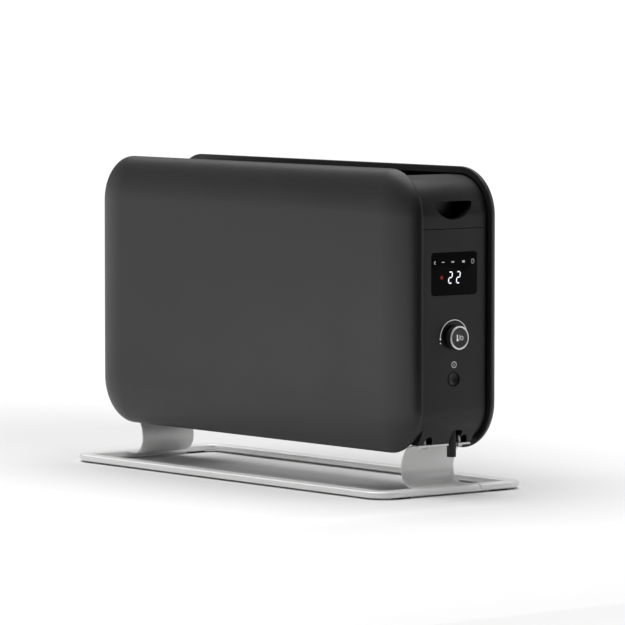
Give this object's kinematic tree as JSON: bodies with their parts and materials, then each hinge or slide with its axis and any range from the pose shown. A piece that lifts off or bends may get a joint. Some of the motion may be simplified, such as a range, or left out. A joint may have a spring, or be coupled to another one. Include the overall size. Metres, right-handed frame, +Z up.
{
  "type": "oil filled radiator heater",
  "caption": "Long low oil filled heater with soft-edged steel cover panels, a dial and display at one end, handle recesses and a floor frame.",
  "frame": {"origin": "bottom centre of the whole object, on the floor", "axes": "+X along the heater towards the control end, +Y from the front panel to the rear panel, +Z up"},
  "size_m": [0.695, 0.258, 0.43],
  "materials": {
    "charcoal_paint": "matte",
    "black_plastic": "satin",
    "inner_plastic": "satin",
    "gloss_black": "gloss",
    "circuit_board": "satin",
    "satin_silver": "satin",
    "dial_silver": "satin",
    "core_paint": "matte",
    "zinc_steel": "satin",
    "black_rubber": "matte"
  },
  "bodies": {
    "heater": {"board_screw_1": "zinc_steel", "board_screw_2": "zinc_steel", "board_screw_3": "zinc_steel", "board_screw_4": "zinc_steel", "control_board": "circuit_board", "control_housing": "black_plastic", "cord_outlet": "black_rubber", "core_bracket_left": "zinc_steel", "core_bracket_right": "zinc_steel", "display_board": "circuit_board", "display_module": "inner_plastic", "display_window": "gloss_black", "element_flange": "zinc_steel", "floor_frame": "satin_silver", "foot_left": "satin_silver", "foot_right": "satin_silver", "foot_screw_left_1": "zinc_steel", "foot_screw_left_2": "zinc_steel", "foot_screw_right_1": "zinc_steel", "foot_screw_right_2": "zinc_steel", "front_panel": "charcoal_paint", "handle_cover_left": "black_plastic", "handle_cover_right": "black_plastic", "heating_element": "zinc_steel", "left_housing": "black_plastic", "radiator_fin_1": "core_paint", "radiator_fin_2": "core_paint", "radiator_fin_3": "core_paint", "radiator_fin_4": "core_paint", "radiator_fin_5": "core_paint", "radiator_fin_6": "core_paint", "radiator_fin_7": "core_paint", "radiator_fin_8": "core_paint", "radiator_fin_9": "core_paint", "rear_panel": "charcoal_paint", "rubber_pad_1": "black_rubber", "rubber_pad_2": "black_rubber", "rubber_pad_3": "black_rubber", "rubber_pad_4": "black_rubber", "selector_case": "zinc_steel", "switch_case": "black_plastic", "terminal_block": "inner_plastic", "thermal_cutout": "zinc_steel", "tilt_switch_case": "inner_plastic", "top_grille": "core_paint"},
    "dial_plunger": {"selector_plunger": "inner_plastic"},
    "dial": {"dial_body": "black_plastic", "dial_ring": "dial_silver", "dial_cap": "gloss_black", "dial_shaft": "zinc_steel"},
    "rocker": {"power_rocker": "gloss_black"},
    "tilt_weight": {"tilt_pendulum": "zinc_steel"}
  },
  "joints": [
    {"name": "dial_press", "type": "slide", "parent": "heater", "child": "dial_plunger", "axis": [-1, 0, 0], "range_m": [0, 0.001], "stiffness_N_per_m": 1500, "springref_m": -0.001},
    {"name": "dial_turn", "type": "hinge", "parent": "dial_plunger", "child": "dial", "pos_m": [0.3375, 0, 0.208], "axis": [1, 0, 0], "continuous": true},
    {"name": "rocker_tilt", "type": "hinge", "parent": "heater", "child": "rocker", "pos_m": [0.3319, 0, 0.1525], "axis": [0, 1, 0], "range_deg": [0, 14]},
    {"name": "tilt_swing", "type": "hinge", "parent": "heater", "child": "tilt_weight", "pos_m": [0.2655, 0.03, 0.25], "axis": [1, 0, 0], "range_deg": [-28, 28]}
  ]
}
